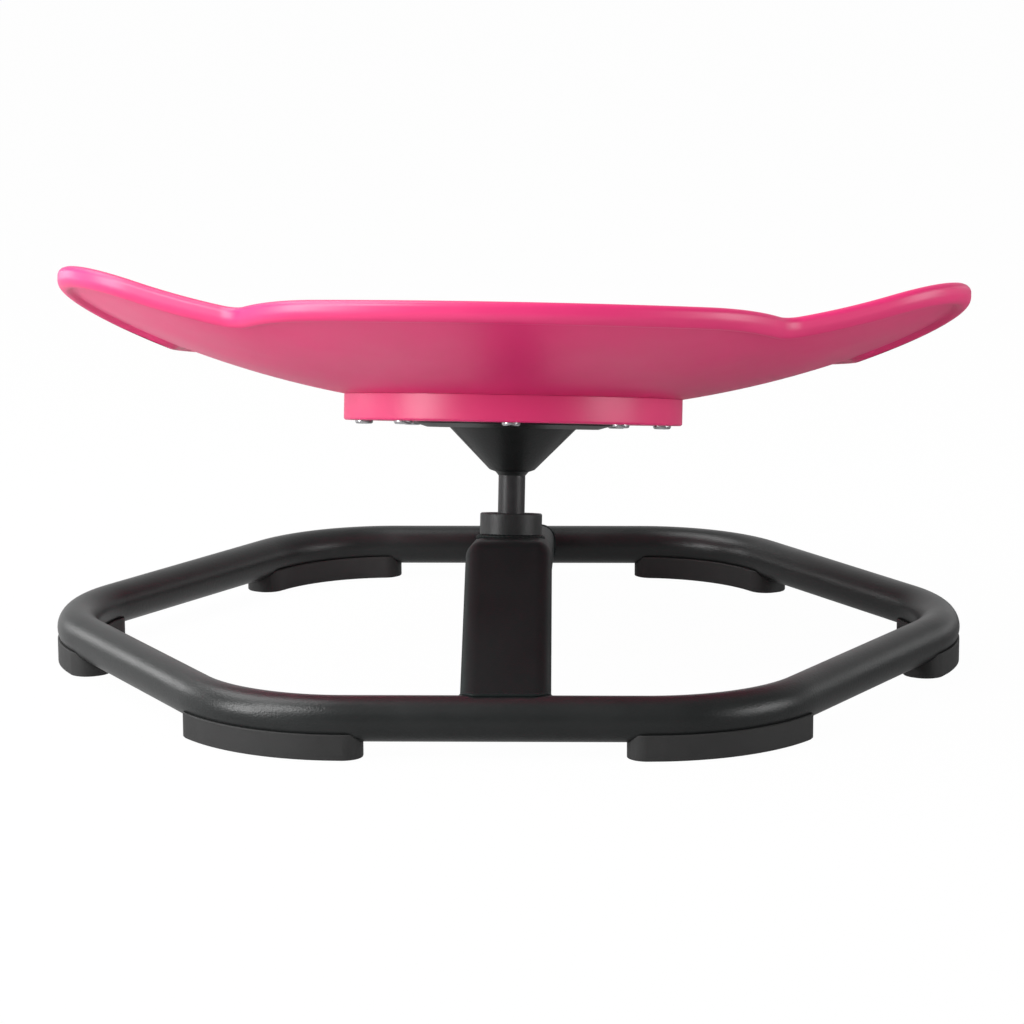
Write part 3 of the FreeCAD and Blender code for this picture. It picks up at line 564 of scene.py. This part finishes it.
# Spindle: turned steel shaft, blackened, that carries the seat and turns in the bearings.
# Its plain upper part shows between the collar and the cone.
spindle_radius = 8.0
journal_radius = 7.475
thread_radius = 7.0
lower_bearing = housing_foot + bearing_recess
journal_top = collar_top - bearing_recess
seat_foot = 80.6
thread_foot = lower_bearing - 12.0
blackened = wandering(
    "black_oxide_steel", (0.020, 0.020, 0.021), (0.034, 0.034, 0.035), 0.006, (0.36, 0.48),
    0.0005, 0.000012, specular=0.3,
)
spindle = joined(
    "spindle_visual",
    [turning([
        (0, thread_foot, 0),
        (thread_radius, thread_foot, 0.8),
        (thread_radius, lower_bearing, 0),
        (journal_radius, lower_bearing, 0),
        (journal_radius, journal_top, 0),
        (spindle_radius, journal_top, 0),
        (spindle_radius, seat_foot, 0),
        (0, seat_foot, 0),
    ], 96)],
)
spindle.data.materials.append(blackened)
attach(spindle, "seat")
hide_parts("spindle")

# Hub cone and flange plate: a spun steel cone and a bevelled round plate, welded to the shaft and
# to each other and powder coated. They carry the seat and spread its load.
cone_foot = 52.7
plate_foot = 77.4
cone_bore = spindle_radius + 0.05
cone_weld_foot = cone_foot - 3.4
cone_weld_edge = (9.9, cone_foot - 1.2, 0.8)
cone_small_radius = 13.4
cone_large_radius = 37.7
cone_large_inner = 33.2
cone_small_inner = 13.9
cone_inner_foot = cone_foot + 6.0
cone = joined(
    "hub_cone_visual",
    [turning([
        (cone_bore, cone_weld_foot, 0),
        cone_weld_edge,
        (cone_small_radius, cone_foot, 2.5),
        (cone_large_radius, plate_foot, 0),
        (cone_large_inner, plate_foot, 0),
        (cone_small_inner, cone_inner_foot, 0),
        (cone_bore, cone_inner_foot, 0),
    ])],
    along=True,
)
cone.data.materials.append(powder_coat)
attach(cone, "seat")
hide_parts("hub_cone")
finish_node("flange_plate", powder_coat)

# Flange screws and inserts: six blackened socket screws, flush in the plate.
# They go into brass inserts that are pressed into the seat disc.
flange_circle = 45.5
flange_screw = screw(4.7, 2.5, 0.3, 2.5, 5.9, hex_recess, 1.5, 0.12, 1.6, sink=2.2)


def round_the_axis(piece, count, circle, level):
    """Copies of a piece spaced evenly round the swivel axis, the first one at the front."""
    copies = []
    for turn in np.arange(count) * 2 * np.pi / count:
        cos, sin = np.cos(turn), np.sin(turn)
        x, y = piece[..., 0], piece[..., 1] - circle
        turned = np.stack([x * cos - y * sin, x * sin + y * cos, piece[..., 2] + level], -1)
        copies.append(on_axis(turned))
    return copies


flange_screws = joined(
    "flange_screws_visual", round_the_axis(flange_screw, 6, flange_circle, plate_foot)
)
flange_screws.data.materials.append(blackened)
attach(flange_screws, "seat")
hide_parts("flange_screws")
brass = wandering(
    "brass_insert", (0.55, 0.36, 0.12), (0.68, 0.47, 0.19), 0.003, (0.28, 0.4), 0.0004, 0.00001,
    metallic=1.0,
)
finish_node("flange_inserts", brass)

# Seat disc: thick moulded disc in the seat's pink plastic, flat below and dished above to take the
# shell. It is screwed to the flange from below.
disc_radius = 100.9
disc_round = 1.5
dish_radius = 585.0
dish_floor = 6.9
pink_plastic = wandering(
    "pink_plastic", (0.64, 0.019, 0.137), (0.70, 0.025, 0.157), 0.05, (0.38, 0.46), 0.0009, 0.00003,
    specular=0.6,
)


def dish_height(radius_squared, depth):
    """Height above the disc's foot of the sphere `depth` outside the shell's underside."""
    return dish_floor + dish_radius - np.sqrt((dish_radius + depth) ** 2 - radius_squared)


disc_across = np.linspace(disc_radius, 0, 24)
disc_crown = [(r, seat_foot + dish_height(r * r, 0.1), 0) for r in disc_across]
disc = joined(
    "seat_disc_visual",
    [turning([(0, seat_foot, 0), (disc_radius, seat_foot, disc_round), *disc_crown], 240)],
    sharp=30,
)
disc.data.materials.append(pink_plastic)
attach(disc, "seat")
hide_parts("seat_disc")

# Disc screws: eight zinc plated pan heads with a cross recess, round the edge of the disc's
# underside. They go up through the disc into the shell.
disc_screw_circle = 88.9
disc_screw_rise = 2.2
disc_screw_reach = 16.43
disc_screw = screw(5.35, disc_screw_rise, 1.4, 2.0, disc_screw_reach, cross_recess, 2.7, 0.72, 1.4)
disc_screw_level = seat_foot - disc_screw_rise
disc_screws = joined(
    "disc_screws_visual", round_the_axis(disc_screw, 8, disc_screw_circle, disc_screw_level)
)
disc_screws.data.materials.append(bright_zinc)
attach(disc_screws, "seat")
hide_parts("disc_screws")

# Seat shell: pink plastic moulded in one piece as part of a sphere, with a front lobe, a hand grip
# on each side and a round back. A thick rolled lip, turned up and down, runs round its rim.
shell_thickness = 4.6
lip_rise = 2.6
lip_drop = 3.6
lip_width = 6.5
lip_slope = 3.0
lip_rounds = (0, 2.5, 4.0, 6.5, 3.6, 2.0, 2.0, 0)
front_radius = 237.5
front_turn = 27.0
shoulder_radius = 110.0
near_notch = 24.0
near_front = 190.03
near_edge_length = 52.54
near_slope = 17.0
grip_corner = 70.0
grip_radius = 81.5
far_notch = 10.0
back_radius = 208.5


def seat_plan(inset):
    """Closed plan of the rim, moved inwards: arcs of the lobe, shoulders, notches, grips and back.

    Neighbouring arcs meet tangentially, so moving inwards only takes the inset off each outward
    arc's radius and adds it to each hollow arc's. The left half mirrors the right.
    """
    shoulder = heading(front_turn - 90) * (front_radius - shoulder_radius)
    near_reach = shoulder_radius + near_notch
    near_x = shoulder[0] + np.sqrt(near_reach**2 - (near_front + shoulder[1]) ** 2)
    near = np.array([near_x, -near_front, 0])
    edge_out, edge_along = heading(near_slope - 90), heading(near_slope)
    edge_start = near - edge_out * near_notch
    edge = edge_start + np.linspace(0, near_edge_length, 12)[:, None] * edge_along
    corner = edge[-1] - edge_out * grip_corner
    grip = corner - np.array([grip_radius - grip_corner, 0, 0])
    distance = np.linalg.norm(grip)
    back_reach = back_radius + far_notch
    ahead = (distance**2 + back_reach**2 - (grip_radius + far_notch) ** 2) / (2 * distance)
    way = grip / distance
    far = way * ahead + np.array([-way[1], way[0], 0]) * np.sqrt(back_reach**2 - ahead**2)
    to_near = np.degrees(np.arctan2(near[1] - shoulder[1], near[0] - shoulder[0]))
    to_far = np.degrees(np.arctan2(far[1] - grip[1], far[0] - grip[0]))
    to_back = np.degrees(np.arctan2(far[1], far[0]))
    right = np.concatenate([
        heading(np.linspace(-90, front_turn - 90, 31))[1:-1] * (front_radius - inset),
        shoulder + heading(np.linspace(front_turn - 90, to_near, 45)) * (shoulder_radius - inset),
        near + heading(np.linspace(to_near + 180, near_slope + 90, 30))[1:] * (near_notch + inset),
        (edge - edge_out * inset)[1:-1],
        corner + heading(np.linspace(near_slope - 90, 0, 40)) * (grip_corner - inset),
        grip + heading(np.linspace(0, to_far, 50))[1:] * (grip_radius - inset),
        far + heading(np.linspace(to_far + 180, to_back + 180, 30))[1:] * (far_notch + inset),
        heading(np.linspace(to_back, 90, 41))[1:-1] * (back_radius - inset),
    ])
    front = np.array([[0, inset - front_radius, 0]])
    back = np.array([[0, back_radius - inset, 0]])
    return np.concatenate([front, right, back, right[::-1] * (-1, 1, 1)])


def seat_surface():
    """Rim plan times a section of (inset, height) points that follows the dish at each place.

    The section goes out along the underside, down, round and over the lip, then in over the top,
    with its corners eased. The underside and top run on to the middle by shrinking the inner plan
    to a point.
    """
    rim = seat_plan(0)
    inward = seat_plan(1) - rim
    inner_edge = lip_width + lip_slope + 2.0
    lip_foot = lip_width - 1.0
    top = -shell_thickness - lip_rise
    shape = ((inner_edge, 0), (lip_width + lip_slope, 0), (lip_foot, lip_drop), (0, lip_drop))
    shape += ((0, top), (lip_width, top), (lip_width + lip_slope, -shell_thickness))
    shape += ((inner_edge, -shell_thickness),)
    corners = []
    for inset, depth in shape:
        place = rim + inward * inset
        height = dish_height(place[:, 0] ** 2 + place[:, 1] ** 2, depth)
        corners.append(np.stack([np.full(len(rim), inset), height], -1))
    section = rounded(np.array(corners), lip_rounds)
    lip = rim + inward * section[..., :1]
    lip[..., 2] = section[..., 1]
    shrink = np.linspace(0, 1, 26)[:-1, None, None]
    under = (rim + inward * inner_edge) * shrink
    upper = under[::-1].copy()
    under[..., 2] = dish_height(under[..., 0] ** 2 + under[..., 1] ** 2, 0)
    upper[..., 2] = dish_height(upper[..., 0] ** 2 + upper[..., 1] ** 2, -shell_thickness)
    return on_axis(np.concatenate([under, lip, upper]) + (0, 0, seat_foot))


shell = joined("seat_shell_visual", [seat_surface()], sharp=50)
shell.data.materials.append(pink_plastic)
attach(shell, "seat")
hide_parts("seat_shell")

# Studio: a white floor that keeps a faint shadow and, seen in reflections, shows a painted pool of
# light on its left; a white surround; and six soft lamps.
# The strongest are on the left and above; the camera looks slightly down from the front.
lamp_aim = Vector((0, 0, 0.14))
floor_drop = 0.0004
floor_share = 0.985
floor_mesh = bpy.data.meshes.new("studio_floor")
floor_mesh.from_pydata([(-40, -40, 0), (40, -40, 0), (40, 40, 0), (-40, 40, 0)], [], [(0, 1, 2, 3)])
floor = bpy.data.objects.new("studio_floor", floor_mesh)
floor.location.z = -floor_drop
bpy.context.scene.collection.objects.link(floor)
paper = bpy.data.materials.new("white_floor")
paper.use_nodes = True
nodes, links = paper.node_tree.nodes, paper.node_tree.links
matt = nodes["Principled BSDF"]
matt.inputs["Base Color"].default_value = (0.7, 0.7, 0.7, 1)
matt.inputs["Roughness"].default_value = 1.0
matt.inputs["Specular IOR Level"].default_value = 0.0
glow = nodes.new("ShaderNodeEmission")
mix = nodes.new("ShaderNodeMixShader")
rays = nodes.new("ShaderNodeLightPath")
seen = nodes.new("ShaderNodeMath")
seen.operation = "MAXIMUM"
links.new(rays.outputs["Is Camera Ray"], seen.inputs[0])
links.new(rays.outputs["Is Transmission Ray"], seen.inputs[1])
whole = nodes.new("ShaderNodeMath")
whole.operation = "MAXIMUM"
links.new(seen.outputs[0], whole.inputs[0])
links.new(rays.outputs["Is Glossy Ray"], whole.inputs[1])
share = nodes.new("ShaderNodeMath")
share.operation = "MULTIPLY"
share.inputs[1].default_value = floor_share
links.new(whole.outputs[0], share.inputs[0])
# Painted light: seen in reflections, the floor glows brighter on the left, where the key lamp
# falls, and dimmer to the right. This painted pool of light stands in for the lamps' light on the
# floor.
spread = nodes.new("ShaderNodeSeparateXYZ")
links.new(nodes.new("ShaderNodeTexCoord").outputs["Object"], spread.inputs["Vector"])
painted_floor_pool = nodes.new("ShaderNodeMapRange")
painted_floor_pool.inputs["From Min"].default_value = -0.35
painted_floor_pool.inputs["From Max"].default_value = 0.35
painted_floor_pool.inputs["To Min"].default_value = 0.75
painted_floor_pool.inputs["To Max"].default_value = 0.22
links.new(spread.outputs["X"], painted_floor_pool.inputs["Value"])
tone = nodes.new("ShaderNodeMix")
links.new(seen.outputs[0], tone.inputs[0])
links.new(painted_floor_pool.outputs["Result"], tone.inputs[2])
tone.inputs[3].default_value = 1.0
links.new(tone.outputs[0], glow.inputs["Strength"])
links.new(share.outputs[0], mix.inputs["Fac"])
links.new(matt.outputs["BSDF"], mix.inputs[1])
links.new(glow.outputs["Emission"], mix.inputs[2])
under = nodes.new("ShaderNodeMixShader")
links.new(nodes.new("ShaderNodeNewGeometry").outputs["Backfacing"], under.inputs["Fac"])
links.new(mix.outputs["Shader"], under.inputs[1])
links.new(nodes.new("ShaderNodeBsdfTransparent").outputs["BSDF"], under.inputs[2])
links.new(under.outputs["Shader"], nodes["Material Output"].inputs["Surface"])
floor_mesh.materials.append(paper)

world = bpy.data.worlds.new("white_surround")
bpy.context.scene.world = world
world.use_nodes = True
nodes, links = world.node_tree.nodes, world.node_tree.links
surround = nodes["Background"]
rays = nodes.new("ShaderNodeLightPath")
way = nodes.new("ShaderNodeSeparateXYZ")
links.new(nodes.new("ShaderNodeTexCoord").outputs["Generated"], way.inputs["Vector"])
room = nodes.new("ShaderNodeMapRange")
room.inputs["From Min"].default_value = 0.1
room.inputs["From Max"].default_value = 0.9
room.inputs["To Min"].default_value = 0.15
room.inputs["To Max"].default_value = 0.7
links.new(way.outputs["Y"], room.inputs["Value"])
mirrored = nodes.new("ShaderNodeMath")
mirrored.operation = "MAXIMUM"
links.new(rays.outputs["Is Glossy Ray"], mirrored.inputs[0])
links.new(rays.outputs["Is Transmission Ray"], mirrored.inputs[1])
bounced = nodes.new("ShaderNodeMix")
bounced.inputs[2].default_value = 0.3
links.new(mirrored.outputs[0], bounced.inputs[0])
links.new(room.outputs["Result"], bounced.inputs[3])
direct = nodes.new("ShaderNodeMix")
direct.inputs[3].default_value = 1.0
links.new(rays.outputs["Is Camera Ray"], direct.inputs[0])
links.new(bounced.outputs[0], direct.inputs[2])
links.new(direct.outputs[0], surround.inputs["Strength"])
surround.inputs["Color"].default_value = (1, 1, 1, 1)

for name, spot, size, power in (
    ("key_softbox", (-1.3, -1.15, 1.5), (0.8, 0.8), 31),
    ("left_softbox", (-1.6, -0.84, 0.6), (0.7, 0.8), 25),
    ("right_softbox", (1.75, -0.65, 0.5), (1.0, 0.7), 15),
    ("left_rim", (-0.86, 0.32, 0.26), (0.35, 0.22), 1.3),
    ("right_rim", (1.55, 0.9, 0.4), (0.8, 0.5), 1.2),
    ("top_softbox", (-0.95, 0.3, 1.8), (1.3, 1.3), 28),
):
    lamp = bpy.data.lights.new(name, "AREA")
    lamp.shape = "RECTANGLE"
    lamp.size, lamp.size_y = size
    lamp.energy = power
    light = bpy.data.objects.new(name, lamp)
    light.location = spot
    light.rotation_euler = (lamp_aim - light.location).to_track_quat("-Z", "Y").to_euler()
    bpy.context.scene.collection.objects.link(light)

camera_down = np.radians(10.812)
camera_side = np.radians(1.6354)
camera_roll = np.radians(-0.2555)
camera_place = (0.06096, -2.0314, 0.47612)
camera_data = bpy.data.cameras.new("camera")
camera_data.lens = 121.056
camera_data.sensor_width = 36.0
camera = bpy.data.objects.new("camera", camera_data)
back = Vector((
    np.sin(camera_side) * np.cos(camera_down),
    -np.cos(camera_side) * np.cos(camera_down),
    np.sin(camera_down),
))
level = Vector((0, 0, 1)).cross(back).normalized()
upright = back.cross(level)
right = level * np.cos(camera_roll) + upright * np.sin(camera_roll)
above = back.cross(right)
turned = Matrix((right, above, back)).transposed().to_4x4()
camera.matrix_world = Matrix.Translation(camera_place) @ turned
bpy.context.scene.collection.objects.link(camera)
bpy.context.scene.camera = camera
bpy.context.scene.view_settings.view_transform = "Standard"
